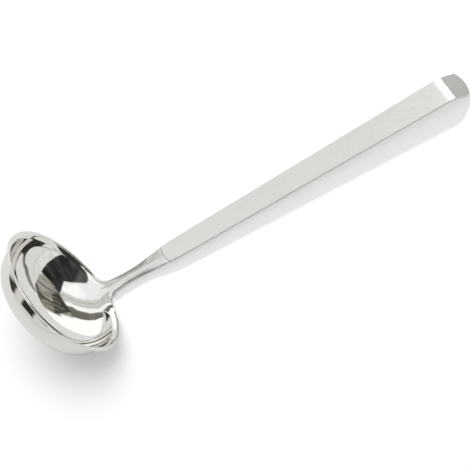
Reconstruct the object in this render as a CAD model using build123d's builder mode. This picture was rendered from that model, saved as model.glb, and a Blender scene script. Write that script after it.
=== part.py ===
"""Stainless steel soup ladle, lying on its back as it rests on a table.

Millimetres and degrees. +Z is up, +X runs along the handle from the bowl to the
hook, and XZ is the plane of symmetry. The origin is on the table, in the middle
of the overall length.
"""

from build123d import *
from math import asin, atan2, cos, degrees, radians, sin, sqrt, tan
import os

# Bowl, pressed from sheet and measured on the outside
rim_diameter = 90.0
bowl_depth = 29.2
bowl_wall = 1.2
lip_overhang = 3.7
corner_radius = 19.0
centre_flat_diameter = 1.0
lip_radius = 3.5
lip_turn = 75.0
rim_edge_radius = 0.4
rim_tilt = 57.9

# Root, a tongue of the lip that meets the neck
root_reach = 3.6
root_step = 0.12
root_width = 9.9
root_thickness = 4.1
root_edge_radius = 1.7
root_foot_width = 22.0
root_foot_thickness = 2.3
root_foot_edge_radius = 0.9
root_fillet = 6.5
root_weld_length = 0.6

# Neck, forged: each reach is measured from the root weld, each rise from the root's top
neck_length = 40.3
shoulder_reach = 4.0
shoulder_rise = 0.12
shoulder_width = 8.6
shoulder_thickness = 4.3
shoulder_edge_radius = 1.9
waist_reach = 12.0
waist_rise = 0.3
waist_width = 7.3
waist_thickness = 4.3
waist_edge_radius = 1.9
flare_reach = 26.5
flare_rise = 0.15
flare_width = 9.0
flare_thickness = 3.2
flare_edge_radius = 1.1

# Handle and hook, one bent strip
handle_thickness = 2.5
handle_edge_radius = 0.4
handle_slope = 1.45
handle_length = 211.5
seam_width = 11.5
seam_flare_angle = 7.0
seam_sag = 1.75
seam_gap = 0.35
seam_recess = 0.12
grip_start = 14.0
grip_start_width = 13.1
hook_width = 18.1
hook_blend = 12.0
bend_radius = 24.0
bend_turn = 14.0
crease_radius = 0.8
crease_turn = 13.9
tip_length = 13.3
tip_sag = 3.2
tip_corner_radius = 1.6

flank_steps = 3

overrun = 5.0

os.makedirs("parts", exist_ok=True)

# Bowl outline about its own axis: height 0 is the rim plane
rim_radius = rim_diameter / 2
body_radius = rim_radius - lip_overhang
under_lip_radius = lip_radius - bowl_wall
middle_lip_radius = lip_radius - bowl_wall / 2
lip_centre_radius = body_radius + under_lip_radius
lip_flat = rim_radius - lip_centre_radius + under_lip_radius * cos(radians(lip_turn))
lip_flat_rise = lip_flat / tan(radians(lip_turn))
lip_rise = lip_radius * sin(radians(lip_turn)) + lip_flat_rise
lip_middle = (lip_centre_radius, -lip_rise)
crest_angle = 90 + rim_tilt
body_drop = bowl_depth - lip_rise
corner_centre_radius = body_radius - corner_radius
corner_centre = (corner_centre_radius, -lip_rise)
bottom_radius = (body_drop**2 + body_radius**2 - 2 * body_radius * corner_radius) / (
    2 * (body_drop - corner_radius)
)
bottom_height = bottom_radius - bowl_depth
bottom_centre = (0, bottom_height)
bottom_angle = degrees(atan2(corner_centre_radius, bottom_radius - body_drop))
flat_angle = degrees(asin(centre_flat_diameter / 2 / bottom_radius))

# The bowl lies with its axis tilted towards the handle, on its lowest point
tilt = radians(rim_tilt)
rim_height = corner_centre_radius * sin(tilt) + lip_rise * cos(tilt) + corner_radius
if 90 - rim_tilt < bottom_angle:
    bowl_back = bottom_radius - bottom_height * sin(tilt)
else:
    bowl_back = corner_centre_radius * cos(tilt) + lip_rise * sin(tilt) + corner_radius


def strip_plane(x, z, slope):
    """Plane at a point of the strip's middle, X along the strip and Z square to it."""
    lean = radians(slope)
    return Plane(
        origin=(x, 0, z), x_dir=(cos(lean), 0, sin(lean)), z_dir=(-sin(lean), 0, cos(lean))
    )


def after_run(plane, length):
    """The strip's plane at the end of a straight run."""
    end = plane.origin + plane.x_dir * length
    return Plane(origin=end, x_dir=plane.x_dir, z_dir=plane.z_dir)


def after_bend(plane, radius, turn):
    """The strip's plane at the end of a downward bend of this radius at its middle."""
    slope = degrees(atan2(plane.x_dir.Z, plane.x_dir.X)) - turn
    end = plane.origin + (strip_plane(0, 0, slope).z_dir - plane.z_dir) * radius
    return strip_plane(end.X, end.Z, slope)


def strip_planes(x, z):
    """The strip's planes at the seam, where each bend starts and ends, and at the tip."""
    seam_plane = strip_plane(x, z, handle_slope)
    bend_start = after_run(seam_plane, handle_length)
    crease_start = after_bend(bend_start, bend_radius, bend_turn)
    crease_end = after_bend(crease_start, crease_middle_radius, crease_turn)
    return seam_plane, bend_start, crease_start, crease_end, after_run(crease_end, tip_length + tip_sag)


# Places along X, at first from the middle of the rim, then from the middle of the length
half_sheet = handle_thickness / 2
edge_inset = half_sheet - handle_edge_radius
crease_middle_radius = crease_radius + half_sheet
rim_low_reach = rim_radius * cos(tilt)
root_end_reach = rim_low_reach + root_reach
seam_reach = root_end_reach + root_weld_length + neck_length
trial_tip = after_run(strip_planes(seam_reach, 0)[-1], -handle_edge_radius)
hook_front = (trial_tip.origin + trial_tip.z_dir * edge_inset).X + handle_edge_radius
seam_height = handle_edge_radius - (trial_tip.origin - trial_tip.z_dir * edge_inset).Z
rim_x = (bowl_back - hook_front) / 2
seam, bend_start, crease_start, crease_end, tip = strip_planes(rim_x + seam_reach, seam_height)

# The bowl's own frame: X points down across the rim to the neck, Y up the axis
bowl_section = Plane(
    origin=(rim_x, 0, rim_height), x_dir=(cos(tilt), 0, -sin(tilt)), z_dir=(0, -1, 0)
)
bowl_axis = Axis(bowl_section.origin, (sin(tilt), 0, cos(tilt)))
lip_centre = bowl_section.from_local_coords(Vector(*lip_middle, 0))
wall_middle = bowl_section.from_local_coords(Vector(body_radius - bowl_wall / 2, -lip_rise, 0))
root_x = rim_x + root_end_reach
root_top = lip_centre.Z + lip_radius - root_step
foot = root_foot_width / 2
foot_x = rim_x + rim_low_reach * sqrt(1 - (foot / rim_radius) ** 2)


def cross_section(plane, width, thickness, edge_radius):
    """Rounded section on a plane whose X runs along the piece."""
    across = Plane(origin=plane.origin, x_dir=(0, 1, 0), z_dir=plane.x_dir)
    with BuildSketch(across) as section:
        RectangleRounded(width, thickness, edge_radius)
    return section.sketch.face()


def level_section(x, rise, width, thickness, edge_radius):
    """Level section whose top is a rise above the root's."""
    middle = strip_plane(x, root_top + rise - thickness / 2, 0)
    return cross_section(middle, width, thickness, edge_radius)


# Tongue under the lip, level on top, wide and thin where it leaves the lip
flank = RadiusArc((foot_x, foot), (root_x, root_width / 2), -root_fillet)
thinning = root_foot_thickness - root_thickness
sharpening = root_foot_edge_radius - root_edge_radius
tongue_sections = [
    level_section(
        wall_middle.X, 0, root_foot_width, root_foot_thickness, root_foot_edge_radius
    )
]
for step in range(flank_steps + 1):
    share = 1 - step / flank_steps
    place = flank @ (1 - share)
    tongue_sections.append(
        level_section(
            place.X,
            0,
            2 * place.Y,
            root_thickness + share * thinning,
            root_edge_radius + share * sharpening,
        )
    )
with BuildPart() as tongue:
    loft(tongue_sections)
    with BuildSketch(bowl_section):
        with BuildLine():
            middle_floor = CenterArc(bottom_centre, bottom_radius - bowl_wall / 2, -90, bottom_angle)
            CenterArc(corner_centre, corner_radius - bowl_wall / 2, bottom_angle - 90, 90 - bottom_angle)
            middle_lip = CenterArc(lip_middle, middle_lip_radius, 180, crest_angle - 180)
            riser = Line(middle_lip @ 1, ((middle_lip @ 1).X, overrun))
            Line(riser @ 1, (0, overrun))
            Line((0, overrun), middle_floor @ 0)
        make_face()
    revolve(axis=bowl_axis, mode=Mode.SUBTRACT)

# Bowl: a deep-drawn shell with a flared lip, and its tongue
with BuildPart() as bowl:
    with BuildSketch(bowl_section):
        with BuildLine():
            outer_floor = CenterArc(bottom_centre, bottom_radius, flat_angle - 90, bottom_angle - flat_angle)
            CenterArc(corner_centre, corner_radius, bottom_angle - 90, 90 - bottom_angle)
            under_lip = CenterArc(lip_middle, under_lip_radius, 180, -lip_turn)
            lip_run = Line(under_lip @ 1, (rim_radius, (under_lip @ 1).Y + lip_flat_rise))
            rim_edge = PolarLine(lip_run @ 1, bowl_wall, 180 - lip_turn)
            lip = CenterArc(lip_middle, lip_radius, 180 - lip_turn, lip_turn)
            Line(rim_edge @ 1, lip @ 0)
            CenterArc(corner_centre, corner_radius - bowl_wall, 0, bottom_angle - 90)
            floor = CenterArc(
                bottom_centre, bottom_radius - bowl_wall, bottom_angle - 90, flat_angle - bottom_angle
            )
            Polyline(floor @ 1, (0, (floor @ 1).Y), (0, (outer_floor @ 0).Y), outer_floor @ 0)
        make_face()
        fillet(vertices().sort_by(Axis.X)[-2:], rim_edge_radius)
    revolve(axis=bowl_axis)
    add(tongue.part)
bowl.part.label = "bowl"
export_step(bowl.part, "parts/bowl.step")


# Root weld: the butt weld between root and neck, ground flush
with BuildPart() as root_weld:
    extrude(
        level_section(root_x, 0, root_width, root_thickness, root_edge_radius),
        amount=root_weld_length,
    )
root_weld.part.label = "root_weld"
export_step(root_weld.part, "parts/root_weld.step")

# Seam between neck and handle: an arc that bulges towards the bowl
seam_radius = (seam_width**2 / 4 + seam_sag**2) / (2 * seam_sag)
seam_centre = (seam_radius - seam_sag, 0)
seam_floor = seam.offset(-half_sheet)

# Neck: a forged stem, round-edged at the waist and flat at the seam
neck_x = root_x + root_weld_length
neck_sections = [
    level_section(neck_x, 0, root_width, root_thickness, root_edge_radius),
    level_section(
        neck_x + shoulder_reach,
        shoulder_rise,
        shoulder_width,
        shoulder_thickness,
        shoulder_edge_radius,
    ),
    level_section(neck_x + waist_reach, waist_rise, waist_width, waist_thickness, waist_edge_radius),
    level_section(neck_x + flare_reach, flare_rise, flare_width, flare_thickness, flare_edge_radius),
    cross_section(seam, seam_width, handle_thickness, handle_edge_radius),
]
with BuildPart() as neck:
    loft(neck_sections)
    with BuildSketch(seam_floor):
        with Locations(seam_centre):
            Circle(seam_radius + seam_gap)
    extrude(amount=handle_thickness + overrun, both=True, mode=Mode.SUBTRACT)
neck.part.label = "neck"
export_step(neck.part, "parts/neck.step")

# Seam weld: a thin filled joint, a little below the faces on either side
with BuildPart() as seam_weld:
    with BuildSketch(seam_floor.offset(seam_recess)):
        with Locations(seam_centre):
            Circle(seam_radius + seam_gap)
            Circle(seam_radius, mode=Mode.SUBTRACT)
        with Locations((-seam_sag, 0)):
            Rectangle(2 * seam_sag, seam_width - 2 * seam_recess, mode=Mode.INTERSECT)
    extrude(amount=handle_thickness - 2 * seam_recess)
seam_weld.part.label = "seam_weld"
export_step(seam_weld.part, "parts/seam_weld.step")


def strip_section(plane):
    """Square-edged section across the strip at its full width."""
    across = Plane(origin=plane.origin, x_dir=(0, 1, 0), z_dir=plane.x_dir)
    with BuildSketch(across) as section:
        Rectangle(hook_width, handle_thickness)
    return section.sketch.face()


def bend_axis(plane, radius):
    """Axis of a downward bend of this radius at the strip's middle."""
    return Axis(plane.origin - plane.z_dir * radius, (0, 1, 0))


# Handle: a flat strip that widens to the hook, where it bends down
grip_run = handle_length - grip_start - hook_blend
grip_taper = (hook_width - grip_start_width) / (2 * grip_run + hook_blend)
flare_direction = (cos(radians(seam_flare_angle)), sin(radians(seam_flare_angle)))
grip_end = (grip_start + grip_run, grip_start_width / 2 + grip_run * grip_taper)
with BuildPart() as handle:
    with BuildSketch(seam_floor):
        with BuildLine():
            front = RadiusArc((-seam_sag, 0), (0, seam_width / 2), seam_radius)
            flare = Spline(
                front @ 1,
                (grip_start, grip_start_width / 2),
                tangents=(flare_direction, (1, grip_taper)),
            )
            grip_side = Line(flare @ 1, grip_end)
            TangentArc(grip_side @ 1, (handle_length, hook_width / 2), tangent=grip_side % 1)
            Line((handle_length, hook_width / 2), (handle_length, 0))
            Line((handle_length, 0), front @ 0)
        make_face()
        mirror(about=Plane.XZ)
    extrude(amount=handle_thickness)
    bend = bend_axis(bend_start, bend_radius)
    revolve(strip_section(bend_start), axis=bend, revolution_arc=bend_turn)
    crease = bend_axis(crease_start, crease_middle_radius)
    revolve(strip_section(crease_start), axis=crease, revolution_arc=crease_turn)
    with BuildSketch(crease_end.offset(-half_sheet)):
        with BuildLine():
            tip_right = Line((0, -hook_width / 2), (tip_length, -hook_width / 2))
            tip_left = Line((tip_length, hook_width / 2), (0, hook_width / 2))
            SagittaArc(tip_right @ 1, tip_left @ 0, -tip_sag)
            Line(tip_left @ 1, tip_right @ 0)
        make_face()
        fillet(vertices().group_by(Axis.X)[-1], tip_corner_radius)
    extrude(amount=handle_thickness)
    outline = edges().filter_by_position(Axis.X, seam.origin.X, tip.origin.X + overrun)
    outline = outline.filter_by(Axis.Y, reverse=True)
    upright_length = handle_thickness + handle_edge_radius
    outline = outline.filter_by(
        lambda edge: edge.geom_type != GeomType.LINE or edge.length > upright_length
    )
    fillet(outline, handle_edge_radius)
handle.part.label = "handle"
export_step(handle.part, "parts/handle.step")
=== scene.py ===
"""Looks of the stainless steel soup ladle: polished bowl, satin neck and handle, studio.

Metres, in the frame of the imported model: +Z up, +X along the handle to the hook,
origin on the table in the middle of the length.
"""

from math import atan2, cos, pi, radians, sin, sqrt, tan

import bpy
from mathutils import Matrix, Vector


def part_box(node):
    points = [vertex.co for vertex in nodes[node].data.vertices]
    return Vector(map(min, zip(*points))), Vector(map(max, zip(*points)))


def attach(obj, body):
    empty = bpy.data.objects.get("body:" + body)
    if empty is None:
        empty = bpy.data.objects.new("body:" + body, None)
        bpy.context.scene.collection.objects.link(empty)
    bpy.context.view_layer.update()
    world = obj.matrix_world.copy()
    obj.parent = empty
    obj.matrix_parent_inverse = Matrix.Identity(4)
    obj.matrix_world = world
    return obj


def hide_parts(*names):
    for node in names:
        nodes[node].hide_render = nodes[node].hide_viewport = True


MM = 0.001

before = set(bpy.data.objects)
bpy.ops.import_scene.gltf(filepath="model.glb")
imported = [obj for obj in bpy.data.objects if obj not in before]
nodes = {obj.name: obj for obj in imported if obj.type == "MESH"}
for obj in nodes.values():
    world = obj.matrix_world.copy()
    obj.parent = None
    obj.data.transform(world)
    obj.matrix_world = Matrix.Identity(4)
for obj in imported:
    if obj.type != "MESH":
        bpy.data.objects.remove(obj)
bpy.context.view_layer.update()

# Place of the bowl: the middle of its rim, which is tilted towards the handle
RIM_TILT = radians(57.9)
BACK_TO_RIM = 34.167 * MM
RIM_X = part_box("bowl")[0].x + BACK_TO_RIM
RIM_Z = 39.971 * MM

# Camera, fitted to the outlines of the photograph
CAMERA_FROM_RIM = Vector((-50.42, -282.54, 806.81)) * MM
CAMERA_RIGHT = Vector((0.8486908, -0.5288560, -0.0059354))
CAMERA_UP = Vector((0.4940410, 0.7887148, 0.3658586))
FOCAL_PIXELS = 1350
IMAGE_PIXELS = 470
SENSOR = 36.0


def make_camera():
    data = bpy.data.cameras.new("camera")
    data.sensor_width = SENSOR
    data.lens = SENSOR * FOCAL_PIXELS / IMAGE_PIXELS
    data.clip_start = 0.05
    data.clip_end = 50
    camera = bpy.data.objects.new("camera", data)
    back = CAMERA_RIGHT.cross(CAMERA_UP)
    turn = Matrix((CAMERA_RIGHT, CAMERA_UP, back)).transposed()
    place = CAMERA_FROM_RIM + Vector((RIM_X, 0, 0))
    camera.matrix_world = Matrix.Translation(place) @ turn.to_4x4()
    bpy.context.scene.collection.objects.link(camera)
    bpy.context.scene.camera = camera


class Graph:
    """Short names for building a node tree."""

    def __init__(self, tree):
        self.tree = tree
        tree.nodes.clear()

    def node(self, kind, **settings):
        made = self.tree.nodes.new(kind)
        for name, value in settings.items():
            setattr(made, name, value)
        return made

    def put(self, socket, value):
        if hasattr(value, "is_output"):
            self.tree.links.new(value, socket)
        else:
            socket.default_value = value

    def math(self, operation, *values):
        made = self.node("ShaderNodeMath", operation=operation)
        for socket, value in zip(made.inputs, values):
            self.put(socket, value)
        return made.outputs[0]

    def add(self, a, b):
        return self.math("ADD", a, b)

    def times(self, a, b):
        return self.math("MULTIPLY", a, b)

    def sum(self, *terms):
        """Sum of (factor, value) pairs and plain numbers."""
        total = 0.0
        for term in terms:
            if isinstance(term, tuple):
                total = self.math("MULTIPLY_ADD", term[1], term[0], total)
            else:
                total = self.add(total, term)
        return total

    def all_of(self, *shares):
        """Product of shares."""
        total = shares[0]
        for share in shares[1:]:
            total = self.times(total, share)
        return total

    def step(self, value, soft):
        """0 where the value is well under 0, 1 where it is well over, over a soft width."""
        made = self.node("ShaderNodeMapRange", interpolation_type="SMOOTHSTEP")
        self.put(made.inputs["Value"], value)
        made.inputs["From Min"].default_value = -soft / 2
        made.inputs["From Max"].default_value = soft / 2
        return made.outputs["Result"]

    def mix(self, share, a, b):
        made = self.node("ShaderNodeMix", data_type="RGBA")
        self.put(made.inputs["Factor"], share)
        self.put(made.inputs["A"], a)
        self.put(made.inputs["B"], b)
        return made.outputs["Result"]

    def split(self, vector):
        made = self.node("ShaderNodeSeparateXYZ")
        self.put(made.inputs[0], vector)
        return made.outputs

    def joined(self, *parts):
        """Vector with these first parts and zeros after them."""
        made = self.node("ShaderNodeCombineXYZ")
        for socket, part in zip(made.inputs, parts):
            self.put(socket, part)
        return made.outputs[0]

    def stretched(self, vector, x, y, z):
        made = self.node("ShaderNodeVectorMath", operation="MULTIPLY")
        self.put(made.inputs[0], vector)
        made.inputs[1].default_value = (x, y, z)
        return made.outputs["Vector"]

    def noise(self, vector, detail=2.0, scale=1.0):
        made = self.node("ShaderNodeTexNoise")
        self.put(made.inputs["Vector"], vector)
        made.inputs["Scale"].default_value = scale
        made.inputs["Detail"].default_value = detail
        return made.outputs["Fac"]

    def raised(self, height, distance, base=None):
        """Bump of a height, in metres, on top of another one."""
        made = self.node("ShaderNodeBump")
        made.inputs["Strength"].default_value = 1
        made.inputs["Distance"].default_value = distance
        self.put(made.inputs["Height"], height)
        if base is not None:
            self.put(made.inputs["Normal"], base)
        return made.outputs["Normal"]


# Share of the light that polished steel gives back, and of a grey's warmth that its green takes
STEEL_RETURN = 0.81
GREEN_WARMTH = 0.2

# Degrees by which edges in the room stray
UNEVEN_EDGES = 1.7


def grey(level, warmth=0.0):
    """Linear colour that polished steel shows as an sRGB level out of 255, a little warm."""
    def linear(value):
        share = min(max(value / 255, 0), 1)
        if share <= 0.04045:
            return share / 12.92 / STEEL_RETURN
        return ((share + 0.055) / 1.055) ** 2.4 / STEEL_RETURN
    return (linear(level), linear(level - warmth * GREEN_WARMTH), linear(level - warmth), 1.0)


def make_world():
    """Studio seen by the steel: white overhead, a dark side where the camera stands.

    A direction is a point on a map round the zenith. Its distance from the middle is its
    angle from the zenith in degrees, with east along +X and north along +Y. Each thing in
    the room is a region of the map with soft edges, painted over those before it.
    """
    world = bpy.data.worlds.new("studio")
    world.use_nodes = True
    bpy.context.scene.world = world
    g = Graph(world.node_tree)
    way = g.node("ShaderNodeTexCoord").outputs["Generated"]
    x, y, z = g.split(way)
    flat = g.math("MAXIMUM", g.math("SQRT", g.add(g.times(x, x), g.times(y, y))), 1e-5)
    fall = g.math("MULTIPLY", g.math("ARCTAN2", flat, z), 180 / pi)

    def on_map(part, stretch):
        stray = g.noise(g.stretched(way, 4, 4, stretch), 3.0)
        straight = g.times(g.math("DIVIDE", part, flat), fall)
        return g.add(straight, g.sum((2 * UNEVEN_EDGES, stray), -UNEVEN_EDGES))

    east = on_map(x, 4)
    north = on_map(y, 7)
    bend = g.times(east, east)

    def above(limit, soft, *terms):
        """Share of the map where the sum of the terms is over a limit."""
        return g.step(g.sum(*terms, -limit), soft)

    def below(limit, soft, *terms):
        return above(-limit, soft, *((-factor, value) for factor, value in terms))

    def within(low, high, soft, *terms):
        return g.times(above(low, soft, *terms), below(high, soft, *terms))

    def paint(share, level, warmth=0.0):
        nonlocal colour
        colour = g.mix(share, colour, grey(level, warmth))

    # Overhead softbox: brightest in its middle, greyer towards the east
    colour = g.mix(above(34, 26, (1, east), (0.2, north)), grey(234, -2), grey(224))
    middle = g.all_of(
        within(4, 50, 18, (1, east)), above(-14, 14, (1, north)), below(12, 16, (1, north)), 0.85
    )
    paint(middle, 254, 3)

    # Folds of grey and white along its north edge
    fold = g.sum((1, north), (0.42, east), (0.001, bend))
    paint(above(20.5, 6, (1, fold)), 205, 4)
    paint(above(26.5, 4, (1, fold)), 184, 4)
    paint(above(31.0, 2, (1, fold)), 205, 4)
    paint(above(34.5, 2, (1, fold)), 190, 4)
    paint(above(38.0, 4, (1, fold)), 246, 3)

    # Dark gap between the softbox and the white wall to the north, darker in two places
    wall = g.sum((1, north), (0.20, east), (0.0035, bend))
    paint(above(46.2, 2.5, (1, north), (0.32, east), (0.0030, bend)), 118, 10)
    paint(g.all_of(above(52.5, 2, (1, wall)), within(-46, 12, 8, (1, east))), 104, 6)
    paint(g.all_of(above(46.5, 2, (1, wall)), above(24, 6, (1, east))), 106, 10)
    paint(above(59.5, 2.5, (1, wall)), 254)
    paint(above(70, 9, (1, north), (-1.08, east)), 210, 6)

    # Furniture low in the east, beyond the hook: a cabinet and what stands out on it
    cabinet = g.all_of(
        above(58, 4, (1, east)),
        below(92, 8, (1, north), (0.95, east), (-0.0005, bend)),
        above(-58, 8, (1, north), (-0.35, east)),
    )
    paint(cabinet, 158, 10)
    door = g.all_of(
        above(71, 3, (1, east)), below(94, 4, (1, east)),
        above(-6, 4, (1, north)), below(98, 5, (1, north), (0.9, east)),
    )
    paint(door, 134, 20)
    shine = g.all_of(
        within(72.0, 76.0, 2, (1, north), (0.9, east)), above(70, 3, (1, east)), below(84, 4, (1, east))
    )
    paint(shine, 176, 16)
    post = g.all_of(
        above(60, 2, (1, east), (0.14, north)), below(71, 3, (1, east), (-0.22, north)),
        above(-2, 5, (1, north)), below(28, 3, (1, north)),
    )
    paint(post, 62, 5)
    strip = g.all_of(
        within(94.0, 101.5, 2.5, (1, north), (1.15, east)),
        above(62, 3, (1, east)), below(110, 6, (1, east)),
    )
    paint(strip, 74, 8)
    beam = g.all_of(
        above(84, 3, (1, east), (0.1, north)), below(95, 4, (1, east)),
        above(-24, 4, (1, north)), below(6, 5, (1, north)),
    )
    paint(beam, 84, 5)
    streak = g.all_of(
        within(54.0, 56.5, 1.5, (1, north), (0.92, east)),
        above(61, 3, (1, east)), below(88, 3, (1, east)),
    )
    paint(streak, 88, 6)

    # Light and dark boards slant across the furniture
    boards = g.noise(g.joined(
        g.sum((0.24, north), (0.22, east)), g.sum((0.035, north), (-0.035, east))
    ))
    furniture = g.all_of(within(60, 97, 6, (1, east)), within(-32, 24, 8, (1, north)))
    paint(g.all_of(furniture, above(0.57, 0.12, (1, boards)), 0.4), 166, 12)
    paint(g.all_of(furniture, below(0.43, 0.12, (1, boards)), 0.45), 90, 11)

    # Light ground beyond the dark side, down to the horizon
    ground_edge = g.sum((1, north), (-0.05, east), (-0.0065, bend), 72)
    ground = below(0, 3, (1, ground_edge))
    paint(g.all_of(ground, below(100, 8, (1, east))), 212, 4)
    paint(g.all_of(ground, below(24, 14, (1, east))), 204, 4)
    paint(g.all_of(below(-38, 6, (1, north)), above(66, 5, (1, east), (0.3, north))), 216, 7)
    patches = above(0.5, 0.3, (1, g.noise(g.stretched(way, 5, 5, 5), 3.0)))
    paint(g.all_of(ground, patches, within(-60, 60, 8, (1, east))), 224, 2)

    # Dark side behind the camera, with paler bars in it
    under_softbox = g.math(
        "MAXIMUM",
        below(-13, 4, (1, north), (0.27, east)),
        below(-46.7, 3, (1, north), (-0.78, east)),
    )
    dark = g.all_of(
        under_softbox, above(0, 2.5, (1, ground_edge)), below(60, 5, (1, east), (0.22, north))
    )
    shade = g.mix(below(-20, 10, (1, north), (-0.45, east)), grey(88, 6), grey(50, -2))
    shade = g.mix(below(-34, 10, (1, north), (-0.35, east), (0.004, bend)), shade, grey(38, -3))
    shade = g.mix(g.all_of(above(38, 10, (1, east)), below(-24, 6, (1, north))), shade, grey(30, 2))
    bars = above(0.57, 0.3, (1, g.noise(g.stretched(way, 4.5, 2.2, 1.5))))
    shade = g.mix(bars, shade, grey(66, 6))
    colour = g.mix(dark, colour, shade)

    # West horizon, with two dark things low in it
    paint(below(-60, 10, (1, east)), 205, 6)
    low_west = g.all_of(below(-57, 5, (1, east)), above(-80, 6, (1, east)))
    paint(g.all_of(low_west, within(37, 80, 10, (1, north))), 62, 12)
    paint(g.all_of(low_west, within(-21, 13, 9, (1, north))), 44, 4)

    # The background itself is plain white
    surface = g.node("ShaderNodeBackground")
    g.put(surface.inputs["Color"], colour)
    plain = g.node("ShaderNodeBackground")
    plain.inputs["Color"].default_value = (1, 1, 1, 1)
    chosen = g.node("ShaderNodeMixShader")
    g.put(chosen.inputs[0], g.node("ShaderNodeLightPath").outputs["Is Camera Ray"])
    g.put(chosen.inputs[1], surface.outputs[0])
    g.put(chosen.inputs[2], plain.outputs[0])
    g.put(g.node("ShaderNodeOutputWorld").inputs["Surface"], chosen.outputs[0])


TABLE_HALF = 1.5
TABLE_COLOUR = (0.74, 0.74, 0.74, 1)
TABLE_GLOW = 0.05
STEEL_SEES_COLOUR = (0.58, 0.58, 0.57, 1)
STEEL_SEES_GLOW = 0.03


def make_table():
    """White table: part of its white is its own, so that it keeps only a pale shadow."""
    corners = [(x * TABLE_HALF, y * TABLE_HALF, 0) for x, y in ((-1, -1), (1, -1), (1, 1), (-1, 1))]
    mesh = bpy.data.meshes.new("table")
    mesh.from_pydata(corners, [], [(0, 1, 2, 3)])
    table = bpy.data.objects.new("table", mesh)
    bpy.context.scene.collection.objects.link(table)
    material = bpy.data.materials.new("white_table")
    material.use_nodes = True
    g = Graph(material.node_tree)
    chosen = g.node("ShaderNodeMixShader")
    g.put(chosen.inputs[0], g.node("ShaderNodeLightPath").outputs["Is Glossy Ray"])
    looks = ((TABLE_COLOUR, TABLE_GLOW), (STEEL_SEES_COLOUR, STEEL_SEES_GLOW))
    for socket, (colour, strength) in zip(chosen.inputs[1:], looks):
        lit = g.node("ShaderNodeBsdfDiffuse")
        lit.inputs["Color"].default_value = colour
        glow = g.node("ShaderNodeEmission")
        glow.inputs["Color"].default_value = (1, 1, 1, 1)
        glow.inputs["Strength"].default_value = strength
        both = g.node("ShaderNodeAddShader")
        g.put(both.inputs[0], lit.outputs[0])
        g.put(both.inputs[1], glow.outputs[0])
        g.put(socket, both.outputs[0])
    g.put(g.node("ShaderNodeOutputMaterial").inputs["Surface"], chosen.outputs[0])
    mesh.materials.append(material)


def make_lamp(name, place, height, azimuth, distance, size, power):
    """Soft lamp at a height and azimuth in degrees, seen from a place and turned to it."""
    data = bpy.data.lights.new(name, "AREA")
    data.shape = "DISK"
    data.size = size
    data.energy = power
    lamp = bpy.data.objects.new(name, data)
    height, azimuth = radians(height), radians(azimuth)
    way = Vector((cos(height) * cos(azimuth), cos(height) * sin(azimuth), sin(height)))
    lamp.location = Vector(place) + way * distance
    lamp.rotation_euler = way.to_track_quat("Z", "Y").to_euler()
    bpy.context.scene.collection.objects.link(lamp)
    return lamp


def linked(name, pieces):
    made = bpy.data.collections.new(name)
    for piece in pieces:
        made.objects.link(piece)
    return made


def make_lamps(handle, neck, bowl):
    """Two lamps for the soft shadows on the table and one for the gleam on the handle's bend."""
    middle = (0, 0, 0)
    key = make_lamp("key", middle, height=37, azimuth=84, distance=3.2, size=0.36, power=54)
    key.light_linking.blocker_collection = linked("key_shadow", [handle] + neck)
    overhead = make_lamp("overhead", middle, height=77, azimuth=96, distance=3.0, size=2.3, power=52)
    overhead.light_linking.blocker_collection = linked("overhead_shadow", [bowl])
    for lamp in (key, overhead):
        lamp.visible_glossy = False
    hook = (0.150, 0, 0.01)
    gleam = make_lamp("gleam", hook, height=45, azimuth=27, distance=1.0, size=0.36, power=0.62)
    gleam.light_linking.receiver_collection = linked("gleam_on", [handle])


# Darkest and lightest tint of each steel
POLISHED_TINTS = ((0.80, 0.79, 0.77, 1), (0.84, 0.83, 0.81, 1))
HANDLE_TINTS = ((0.785, 0.78, 0.765, 1), (0.865, 0.86, 0.845, 1))
# The neck's tints are darker than the handle's: painted shade for the darker reflections along the neck
NECK_SHADED_TINTS = ((0.64, 0.635, 0.62, 1), (0.74, 0.735, 0.72, 1))
TONGUE_TINT = (0.70, 0.695, 0.68, 1)
# The weld's tints are partly the bead's own dull colour and partly painted shade of the seam's shadowed
# gap
WELD_AND_GAP_SHADE_TINTS = ((0.10, 0.097, 0.092, 1), (0.30, 0.29, 0.28, 1))

# Where a finish changes along X, and over what length
SATIN_X = RIM_X + 24.6 * MM
SATIN_BLEND = 5.4 * MM
NECK_END_X = -68 * MM
NECK_BLEND = 5 * MM
TIP_X = 153.2 * MM
TIP_BLEND = 0.4 * MM

# Relief of the steels, in metres
UNEVENNESS = 4.5e-5
RING_HEIGHT = 2.5e-7
SCRATCH_HEIGHT = 1.5e-7
GRAIN_HEIGHT = 3e-7
LUMP_HEIGHT = 6e-5
PORE_HEIGHT = 2e-5

# Closeness of the polishing rings, and the level of the noise under which a scratch is cut
RINGS_PER_METRE = 2600
SCRATCH_LEVEL = 0.62
SCRATCH_BLEND = 0.02


def steel(name, colour):
    """Bare stainless steel; returns the material, its graph, its shader and places on the piece."""
    material = bpy.data.materials.new(name)
    material.use_nodes = True
    g = Graph(material.node_tree)
    shader = g.node("ShaderNodeBsdfPrincipled")
    shader.inputs["Base Color"].default_value = colour
    shader.inputs["Metallic"].default_value = 1
    g.put(g.node("ShaderNodeOutputMaterial").inputs["Surface"], shader.outputs[0])
    return material, g, shader, g.node("ShaderNodeTexCoord").outputs["Object"]


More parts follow.
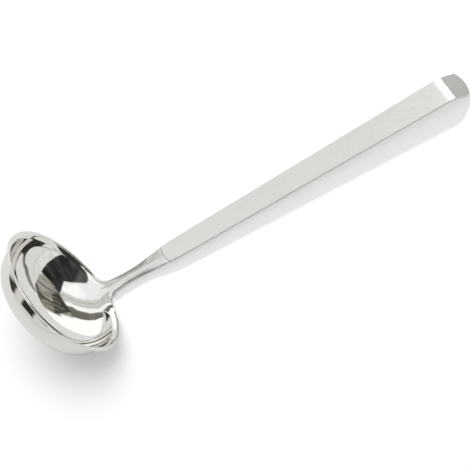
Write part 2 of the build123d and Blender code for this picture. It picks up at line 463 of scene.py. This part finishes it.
def polished_steel():
    """Mirror with a faint unevenness, fine rings from drawing and polishing, and hairline scratches."""
    material, g, shader, place = steel("polished_steel", (0.82, 0.81, 0.79, 1))
    x, y, z = g.split(place)
    across = g.sum((cos(RIM_TILT), x), (-sin(RIM_TILT), z), RIM_Z * sin(RIM_TILT) - RIM_X * cos(RIM_TILT))
    along = g.sum((sin(RIM_TILT), x), (cos(RIM_TILT), z), -RIM_Z * cos(RIM_TILT) - RIM_X * sin(RIM_TILT))
    radius = g.math("SQRT", g.add(g.times(across, across), g.times(y, y)))
    ring = g.noise(g.joined(g.times(radius, RINGS_PER_METRE), g.times(along, RINGS_PER_METRE)))
    uneven = g.noise(place, 1.0, 70)
    hairlines = g.noise(g.stretched(place, 260, 5200, 1900), 3.0)
    scratch = g.math("SMOOTH_MIN", hairlines, SCRATCH_LEVEL, SCRATCH_BLEND)
    bump = g.raised(ring, RING_HEIGHT, g.raised(uneven, UNEVENNESS))
    g.put(shader.inputs["Normal"], g.raised(scratch, SCRATCH_HEIGHT, bump))

    # The tongue is ground satin with the neck
    satin = g.step(g.add(x, -SATIN_X), SATIN_BLEND)
    polish = g.sum((0.035, ring), (0.03, g.noise(place, 3.0, 180)), 0.008)
    ground = g.sum((0.10, g.noise(g.stretched(place, 60, 3200, 3200), 3.0)), 0.20)
    g.put(shader.inputs["Roughness"], g.add(g.times(satin, g.math("SUBTRACT", ground, polish)), polish))
    tint = g.mix(g.sum((0.6, ring), (0.4, uneven)), *POLISHED_TINTS)
    g.put(shader.inputs["Base Color"], g.mix(satin, tint, TONGUE_TINT))
    return material


def satin_steel():
    """Steel ground along the handle: long grain in height, shine and colour, and handling marks."""
    material, g, shader, place = steel("satin_steel", (0.78, 0.775, 0.76, 1))
    grain = g.noise(g.stretched(place, 30, 4200, 4200), 3.0)
    wide = g.noise(g.stretched(place, 9, 900, 900))
    marks = g.noise(place, 4.0, 55)
    g.put(shader.inputs["Normal"], g.raised(wide, GRAIN_HEIGHT, g.raised(grain, GRAIN_HEIGHT)))

    # The neck is ground a little finer than the handle and the hook's tip coarser. The neck's darker
    # colour is painted shade for its darker reflections
    x = g.split(place)[0]
    neck = g.step(g.sum((-1, x), NECK_END_X), NECK_BLEND)
    tip = g.step(g.add(x, -TIP_X), TIP_BLEND)
    g.put(
        shader.inputs["Roughness"],
        g.sum((0.12, grain), (0.06, wide), (0.06, marks), (-0.035, neck), (0.06, tip), 0.17),
    )
    share = g.sum((0.5, grain), (0.3, wide), (0.2, marks))
    # Painted shade: the neck takes its darker tints
    tint = g.mix(neck, g.mix(share, *HANDLE_TINTS), g.mix(share, *NECK_SHADED_TINTS))
    g.put(shader.inputs["Base Color"], tint)
    g.put(shader.inputs["Tangent"], g.joined(1))
    shader.inputs["Anisotropic"].default_value = 0.35
    return material


def weld_steel():
    """Dull bead: uneven and darker in its pores; its very dark colour is partly its own and partly
    painted shade of the seam's shadowed gap.
    """
    material, g, shader, place = steel("weld_steel", (0.2, 0.19, 0.18, 1))
    lumps = g.noise(place, 4.0, 900)
    pores = g.noise(place, 2.0, 3400)
    g.put(shader.inputs["Normal"], g.raised(pores, PORE_HEIGHT, g.raised(lumps, LUMP_HEIGHT)))
    g.put(shader.inputs["Roughness"], g.sum((0.25, lumps), (0.15, pores), 0.28))
    # Partly painted shade: the dark tints stand for the seam's shadowed gap as well as the dull bead
    g.put(shader.inputs["Base Color"], g.mix(lumps, *WELD_AND_GAP_SHADE_TINTS))
    return material


# Outside of the bowl in millimetres about its own axis, as in the part's source
RIM_RADIUS = 45.0
BODY_RADIUS = 41.3
WALL = 1.2
DEPTH = 29.2
CORNER = 19.0
LIP = 3.5
LIP_TURN = radians(75)
EDGE = 0.4
UNDER_LIP = LIP - WALL
LIP_CENTRE = BODY_RADIUS + UNDER_LIP
LIP_FLAT = RIM_RADIUS - LIP_CENTRE + UNDER_LIP * cos(LIP_TURN)
LIP_RISE = LIP * sin(LIP_TURN) + LIP_FLAT / tan(LIP_TURN)
DROP = DEPTH - LIP_RISE
FLOOR = (DROP**2 + BODY_RADIUS**2 - 2 * BODY_RADIUS * CORNER) / (2 * (DROP - CORNER))
FLOOR_HEIGHT = FLOOR - DEPTH
FLOOR_ANGLE = atan2(BODY_RADIUS - CORNER, FLOOR - DROP)
CREST = pi / 2 + RIM_TILT

# Inside of the bowl, fitted to its reflections: rounder than the outside
INNER_RADIUS = 40.8
INNER_CORNER = 25.2
INNER_LIP = 3.8
INNER_DEPTH = 27.1
WALL_SLOPE = radians(76.2)

# Root and neck in millimetres: x is measured from the middle of the rim
ROOT_REACH = 3.6
ROOT_X = RIM_RADIUS * cos(RIM_TILT) + ROOT_REACH
ROOT_HALF = 4.95
ROOT_SLOPE = -0.356
ROOT_STEP = 0.12
ROOT_TOP = RIM_Z / MM - LIP_CENTRE * sin(RIM_TILT) - LIP_RISE * cos(RIM_TILT) + LIP - ROOT_STEP
ROOT_CROWN = 8.0
ROOT_WELD = 0.6
FOOT_THICK = 1.4
NECK_X = ROOT_X + ROOT_WELD
SHOULDER_X = 33.0
WAIST_X = 40.0
BOW_X = 50.0
FLARE_X = 54.0
SEAM_X = 68.41
SEAM_HALF = 5.75
SEAM_SAG = 1.75
SEAM_GAP = 0.35

# The tongue ends at this azimuth of the rim. Its end on the root takes a share of that, its
# flanks the rest, and from another share on they fade into the lip
TONGUE_LIMIT = radians(26)
TONGUE_MIDDLE = 0.26
TONGUE_FADE = 0.5

# Along the neck: place, value and slope there; the crown is in degrees at the edge
HALF_WIDTH = (
    (ROOT_X, ROOT_HALF, ROOT_SLOPE), (SHOULDER_X, 4.12, -0.13), (WAIST_X, 3.65, 0.0),
    (FLARE_X, 4.5, 0.075), (SEAM_X, SEAM_HALF, 0.12),
)
TOP_HEIGHT = (
    (ROOT_X, ROOT_TOP, 0.03), (WAIST_X, ROOT_TOP + 0.28, 0.005), (FLARE_X, ROOT_TOP + 0.15, 0.0),
    (SEAM_X, 4.961, 0.0253),
)
THICKNESS = (
    (ROOT_X, 4.1, 0.02), (WAIST_X, 4.3, 0.0), (FLARE_X, 3.2, -0.08), (SEAM_X, 2.5, -0.02),
)
EDGE_ROUND = ((ROOT_X, 1.1, -0.05), (WAIST_X, 0.75, 0.0), (FLARE_X, 0.65, -0.01), (SEAM_X, 0.4, 0.0))
CROWN = ((ROOT_X, ROOT_CROWN, 1.4), (WAIST_X, 17.0, 0.0), (FLARE_X, 16.5, -0.9), (SEAM_X, 0.5, -0.3))
CROWN_POWER = 1.3
SLOPE_STEP = 0.01

# Steps of the meshes: along a profile of the bowl, round it, and along the neck
FLOOR_STEPS = 44
CORNER_STEPS = 40
DEEP_STEPS = 13
LIP_STEPS = 16
TOP_STEPS = 18
TURN_STEPS = 12
ROUND_STEPS = 6
SIDE_STEPS = 2
UNDER_STEPS = 18
CROWN_STEPS = 12
FLANK_STEPS = 40
NEAR_TONGUE = radians(30)
NEAR_COLUMNS = 66
FAR_COLUMNS = 186
NECK_STATIONS = 90
ROOT_STATIONS = 4
SHARP_TURN = radians(35)


def at(table, x):
    """Value of a table of places, values and slopes, smooth between its places."""
    for (a, p, m), (b, q, n) in zip(table, table[1:]):
        if x <= b or b == table[-1][0]:
            t = min(max((x - a) / (b - a), 0), 1)
            span = b - a
            return (
                p * (2 * t**3 - 3 * t**2 + 1) + m * span * (t**3 - 2 * t**2 + t)
                + q * (3 * t**2 - 2 * t**3) + n * span * (t**3 - t**2)
            )


def slope_at(table, x):
    return (at(table, x + SLOPE_STEP) - at(table, x - SLOPE_STEP)) / (2 * SLOPE_STEP)


def smooth(t):
    t = min(max(t, 0), 1)
    return t * t * (3 - 2 * t)


def arc(centre, radius, start, end, steps):
    """Points of an arc after its first one."""
    turns = [start + (end - start) * (i + 1) / steps for i in range(steps)]
    return [(centre[0] + radius * cos(a), centre[1] + radius * sin(a)) for a in turns]


def line(start, end, steps):
    """Points of a straight run after its first one."""
    shares = [(i + 1) / steps for i in range(steps)]
    return [tuple(a + (b - a) * t for a, b in zip(start, end)) for t in shares]


def hermite(start, end, leave, arrive, steps):
    """Points of a curve after its first one, with its directions at both ends."""
    made = []
    reach = (end - start).length
    for i in range(steps):
        t = (i + 1) / steps
        a = 2 * t**3 - 3 * t**2 + 1
        b = t**3 - 2 * t**2 + t
        c = -2 * t**3 + 3 * t**2
        d = t**3 - t**2
        made.append(start * a + leave * (b * reach) + end * c + arrive * (d * reach))
    return made


def placed(r, h, azimuth):
    """Point of the bowl from its radius, its height over the rim and its azimuth from the neck.

    In millimetres, with X from the middle of the rim and Z from the table.
    """
    along = r * cos(azimuth)
    return Vector((
        along * cos(RIM_TILT) + h * sin(RIM_TILT),
        r * sin(azimuth),
        RIM_Z / MM - along * sin(RIM_TILT) + h * cos(RIM_TILT),
    ))


def turned(r, h, azimuth):
    """Direction of a profile direction at an azimuth of the bowl."""
    return placed(r, h, azimuth) - placed(0, 0, azimuth)


def rim_ends():
    """Slope of the lip's flat, directions along and square to it, and the rim's two corners."""
    flat = pi / 2 - LIP_TURN
    along = Vector((cos(flat), sin(flat)))
    out = Vector((-along.y, along.x))
    low_end = Vector((RIM_RADIUS, -LIP_RISE + UNDER_LIP * sin(pi - LIP_TURN) + LIP_FLAT * tan(flat)))
    return flat, along, out, low_end, low_end + out * WALL


def inner_arcs():
    """Centres, radii and angles of the inside: floor, corner and lip."""
    flat, _, _, _, high_end = rim_ends()
    lip_x = INNER_RADIUS + INNER_LIP * sin(WALL_SLOPE)
    lip_end_x = lip_x - INNER_LIP * sin(flat)
    lip_y = high_end.y - (high_end.x - lip_end_x) * tan(flat) - INNER_LIP * cos(flat)
    wall_y = lip_y + INNER_LIP * cos(WALL_SLOPE)
    corner = (INNER_RADIUS - INNER_CORNER * sin(WALL_SLOPE), wall_y + INNER_CORNER * cos(WALL_SLOPE))
    rise = corner[1] + INNER_DEPTH
    floor_radius = (corner[0] ** 2 + rise**2 - INNER_CORNER**2) / (2 * (rise - INNER_CORNER))
    floor = (0, floor_radius - INNER_DEPTH)
    floor_turn = atan2(corner[0], floor[1] - corner[1])
    return floor, floor_radius, floor_turn, corner, (lip_x, lip_y)


def bowl_outline():
    """Inside, lip and outside of the bowl as three lists of profile points."""
    floor, floor_radius, floor_turn, corner, inner_lip = inner_arcs()
    inside = arc(floor, floor_radius, -pi / 2, floor_turn - pi / 2, FLOOR_STEPS)
    inside += arc(corner, INNER_CORNER, floor_turn - pi / 2, WALL_SLOPE - pi / 2, CORNER_STEPS)
    inside, deep = inside[:-DEEP_STEPS], inside[-DEEP_STEPS:]

    # The rim's edge is square to the lip and rounded on both sides
    flat, along, out, low_end, high_end = rim_ends()
    lip = deep + arc(inner_lip, INNER_LIP, WALL_SLOPE + pi / 2, CREST, LIP_STEPS)
    lip += arc(inner_lip, INNER_LIP, CREST, flat + pi / 2, TURN_STEPS)
    lip += line(lip[-1], high_end - along * EDGE, TOP_STEPS - TURN_STEPS)
    lip += arc(high_end - (along + out) * EDGE, EDGE, flat + pi / 2, flat, ROUND_STEPS)
    lip += line(lip[-1], low_end + out * EDGE, SIDE_STEPS)
    lip += arc(low_end - (along - out) * EDGE, EDGE, flat, flat - pi / 2, ROUND_STEPS)

    # Back under the lip and down the outside
    under_start = (
        LIP_CENTRE + UNDER_LIP * cos(pi - LIP_TURN),
        -LIP_RISE + UNDER_LIP * sin(pi - LIP_TURN),
    )
    lip += line(lip[-1], under_start, UNDER_STEPS - TURN_STEPS)
    lip += arc((LIP_CENTRE, -LIP_RISE), UNDER_LIP, pi - LIP_TURN, pi, TURN_STEPS)
    outside = arc((BODY_RADIUS - CORNER, -LIP_RISE), CORNER, 0, FLOOR_ANGLE - pi / 2, CORNER_STEPS)
    outside += arc((0, FLOOR_HEIGHT), FLOOR, FLOOR_ANGLE - pi / 2, -pi / 2, FLOOR_STEPS)[:-1]
    return inside, lip, outside


def half_section(centre, outline, outward, top, thick, round_by, lean):
    """Points from the middle of the top to its edge, and from there round to the underside."""
    inset = outline - outward * round_by
    edge = inset + outward * (round_by * sin(lean))
    sink = tan(lean) * (edge - centre).length / CROWN_POWER
    over = []
    for i in range(CROWN_STEPS + 1):
        share = i / CROWN_STEPS
        place = centre.lerp(edge, share)
        over.append(Vector((place.x, place.y, top - sink * share**CROWN_POWER)))
    high = top - sink - round_by * cos(lean)
    low = top - thick + round_by
    rounding = []
    for i in range(ROUND_STEPS):
        a = (pi / 2 - lean) * (1 - (i + 1) / ROUND_STEPS)
        place = inset + outward * (round_by * cos(a))
        rounding.append(Vector((place.x, place.y, high + round_by * sin(a))))
    for i in range(SIDE_STEPS):
        rounding.append(Vector((outline.x, outline.y, high + (low - high) * (i + 1) / SIDE_STEPS)))
    for i in range(ROUND_STEPS):
        a = -pi / 2 * (i + 1) / ROUND_STEPS
        place = inset + outward * (round_by * cos(a))
        rounding.append(Vector((place.x, place.y, low + round_by * sin(a))))
    return over, rounding


def neck_half(x):
    """Half section of the neck at a place along it."""
    slope = slope_at(HALF_WIDTH, min(max(x, ROOT_X + SLOPE_STEP), SEAM_X - SLOPE_STEP))
    outward = Vector((-slope, 1)).normalized()
    return half_section(
        Vector((x, 0)), Vector((x, at(HALF_WIDTH, x))), outward, at(TOP_HEIGHT, x), at(THICKNESS, x),
        at(EDGE_ROUND, x), radians(at(CROWN, x)),
    )


def tongue_end(t):
    """Tongue's end on the root, from its middle at 0 to its corner at 1.

    Returns the point on the upper edge, the direction in which the top reaches it, the
    points down to the underside and the direction in which the underside goes back.
    """
    over, rounding = neck_half(ROOT_X)
    place = t * CROWN_STEPS
    index = min(int(place), CROWN_STEPS - 1)
    edge = over[index].lerp(over[index + 1], place - index)
    corner_way = Vector((-ROOT_SLOPE, 1, -tan(radians(ROOT_CROWN)))).normalized()
    arrive = Vector((1, 0, 0)).lerp(corner_way, smooth(t)).normalized()
    bottom = Vector((edge.x, edge.y, rounding[-1].z))
    steps = len(rounding)
    downward = [edge.lerp(bottom, (i + 1) / steps) for i in range(steps)]
    return edge, arrive, downward, Vector((-1, 0, 0))


def tongue_flank(t, foot, lip_way):
    """Tongue's flank, from the root's corner at 0 to its foot on the rim at 1, given as its end is."""
    lean = radians(ROOT_CROWN)
    over, rounding = neck_half(ROOT_X)
    start = Vector((ROOT_X, ROOT_HALF, over[-1].z))
    leave = Vector((-1, -ROOT_SLOPE, 0)).normalized()
    rim_way = Vector((
        -sin(TONGUE_LIMIT) * cos(RIM_TILT), cos(TONGUE_LIMIT), sin(TONGUE_LIMIT) * sin(RIM_TILT),
    ))
    flank = [start] + hermite(start, foot, leave, rim_way, FLANK_STEPS)
    place = t * FLANK_STEPS
    index = min(int(place), FLANK_STEPS - 1)
    point = flank[index].lerp(flank[index + 1], place - index)
    run = flank[index + 1] - flank[index]
    outward = Vector((run.y, -run.x)).normalized()

    # The edge is sharper and the plate thinner towards the foot
    round_by = at(EDGE_ROUND, ROOT_X) * (1 - t) + EDGE * t
    thick = (over[-1].z - rounding[-1].z) * (1 - t) + FOOT_THICK * t
    middle = Vector((point.x, 0))
    outline = Vector((point.x, point.y))
    sink = tan(lean) * (outline - outward * round_by - middle).length / CROWN_POWER
    _, rounding = half_section(
        middle, outline, outward, point.z + sink, thick + sink, round_by, lean
    )
    inset = outline - outward * (round_by * (1 - sin(lean)))
    edge = Vector((inset.x, inset.y, point.z))
    arrive = Vector((outward.x, outward.y, -tan(lean))).normalized().lerp(lip_way, smooth(t))
    return edge, arrive.normalized(), rounding, Vector((-outward.x, -outward.y, 0))


def tongue_column(azimuth, foot, lip_column):
    """Column of the tongue from inside the wall over the lip, round its edge and back under it."""
    side = 1 if azimuth >= 0 else -1
    azimuth = abs(azimuth)
    share = azimuth / TONGUE_LIMIT
    top_steps = DEEP_STEPS + LIP_STEPS + TOP_STEPS
    if share < TONGUE_MIDDLE:
        edge, arrive, rounding, back_way = tongue_end(share / TONGUE_MIDDLE)
    else:
        lip_way = lip_column[top_steps - 1] - lip_column[top_steps - 2]
        lip_way = Vector((abs(lip_way.x), abs(lip_way.y), lip_way.z)).normalized()
        t = (share - TONGUE_MIDDLE) / (1 - TONGUE_MIDDLE)
        edge, arrive, rounding, back_way = tongue_flank(t, foot, lip_way)
    _, _, floor_turn, corner, _ = inner_arcs()
    turn = WALL_SLOPE - pi / 2 - DEEP_STEPS * (WALL_SLOPE - floor_turn) / CORNER_STEPS
    deep = placed(corner[0] + INNER_CORNER * cos(turn), corner[1] + INNER_CORNER * sin(turn), azimuth)
    top = hermite(deep, edge, turned(-sin(turn), cos(turn), azimuth), arrive, top_steps)
    wall = placed(BODY_RADIUS, -LIP_RISE, azimuth)
    back = hermite(rounding[-1], wall, back_way, turned(0, -1, azimuth), UNDER_STEPS)
    column = top + rounding + back
    for point in column:
        point.y *= side
    return column


def bowl_columns():
    """Azimuths of the bowl's columns, close together at the tongue."""
    near = [NEAR_TONGUE * (i / NEAR_COLUMNS) for i in range(-NEAR_COLUMNS, NEAR_COLUMNS + 1)]
    rest = 2 * pi - 2 * NEAR_TONGUE
    return near + [NEAR_TONGUE + rest * i / FAR_COLUMNS for i in range(1, FAR_COLUMNS)]


def mesh_piece(name, rows, first, last, replaced):
    """Closed smooth mesh in place of CAD nodes: rows of points in millimetres, side by side all
    round, that run from the middle of its first end to the middle of its last."""
    width = len(rows[0])
    points = [(p + Vector((RIM_X / MM, 0, 0))) * MM for row in rows + [[first, last]] for p in row]
    hub = len(rows) * width
    faces = []
    for i in range(len(rows)):
        a = i * width
        b = (i + 1) % len(rows) * width
        faces += [(a + k, a + k + 1, b + k + 1, b + k) for k in range(width - 1)]
        faces += [(hub, a, b), (hub + 1, b + width - 1, a + width - 1)]
    mesh = bpy.data.meshes.new(name)
    mesh.from_pydata(points, [], faces)
    mesh.update()
    for face in mesh.polygons:
        face.use_smooth = True
    mesh.set_sharp_from_angle(angle=SHARP_TURN)
    piece = bpy.data.objects.new(name, mesh)
    bpy.context.scene.collection.objects.link(piece)
    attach(piece, "root")
    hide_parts(*replaced)
    return piece


def make_bowl():
    """Deep-drawn bowl whose lip runs out into the tongue that meets the neck."""
    inside, lip, outside = bowl_outline()
    _, along, _, _, high_end = rim_ends()
    foot = placed(*(high_end - along * EDGE), TONGUE_LIMIT)
    rows = []
    for azimuth in bowl_columns():
        row = [placed(r, h, azimuth) for r, h in inside]
        edge = [placed(r, h, azimuth) for r, h in lip]
        if abs(azimuth) < TONGUE_LIMIT:
            share = smooth((abs(azimuth) / TONGUE_LIMIT - TONGUE_FADE) / (1 - TONGUE_FADE))
            tongue = tongue_column(azimuth, foot, edge)
            edge = [a.lerp(b, share) for a, b in zip(tongue, edge)]
        row += edge + [placed(r, h, azimuth) for r, h in outside]
        rows.append(row)
    floor_in = placed(0, -INNER_DEPTH, 0)
    floor_out = placed(0, FLOOR_HEIGHT - FLOOR, 0)
    return mesh_piece("bowl_shell", rows, floor_in, floor_out, ["bowl"])


def neck_ring(x, bow):
    """Closed section of the neck; near the seam it bows to the seam's arc."""
    over, rounding = neck_half(x)
    half = over + rounding
    half.append(Vector((x, 0, half[-1].z)))
    radius = (SEAM_HALF**2 + SEAM_SAG**2) / (2 * SEAM_SAG) + SEAM_GAP
    middle = SEAM_X + radius - SEAM_GAP - SEAM_SAG
    for point in half:
        seam = middle - sqrt(radius**2 - min(abs(point.y), SEAM_HALF) ** 2)
        point.x -= bow * (SEAM_X - seam)
    other = [Vector((p.x, -p.y, p.z)) for p in half[-2:0:-1]]
    return half + other


def make_neck(name, start, end, stations, replaced):
    """Forged neck, or a slice of it, as a smooth mesh."""
    rings = []
    for i in range(stations + 1):
        x = start + (end - start) * i / stations
        rings.append(neck_ring(x, smooth((x - BOW_X) / (SEAM_X - BOW_X))))
    first, last = ((ring[0] + ring[len(ring) // 2]) / 2 for ring in (rings[0], rings[-1]))
    return mesh_piece(name, [list(row) for row in zip(*rings)], first, last, replaced)


def dress(piece, material):
    piece.data.materials.clear()
    piece.data.materials.append(material)


make_camera()
make_world()
make_table()
polished = polished_steel()
satin = satin_steel()
weld = weld_steel()
bowl_shell = make_bowl()
dress(bowl_shell, polished)
neck_stem = make_neck("neck_stem", NECK_X, SEAM_X, NECK_STATIONS, ["neck"])
root_slice = make_neck("root_slice", ROOT_X, NECK_X, ROOT_STATIONS, ["root_weld"])
for piece in (neck_stem, root_slice):
    dress(piece, satin)
dress(nodes["handle"], satin)
dress(nodes["seam_weld"], weld)
for node in nodes.values():
    for face in node.data.polygons:
        face.use_smooth = True

make_lamps(nodes["handle"], [neck_stem, root_slice], bowl_shell)

bpy.context.scene.view_settings.view_transform = "Standard"
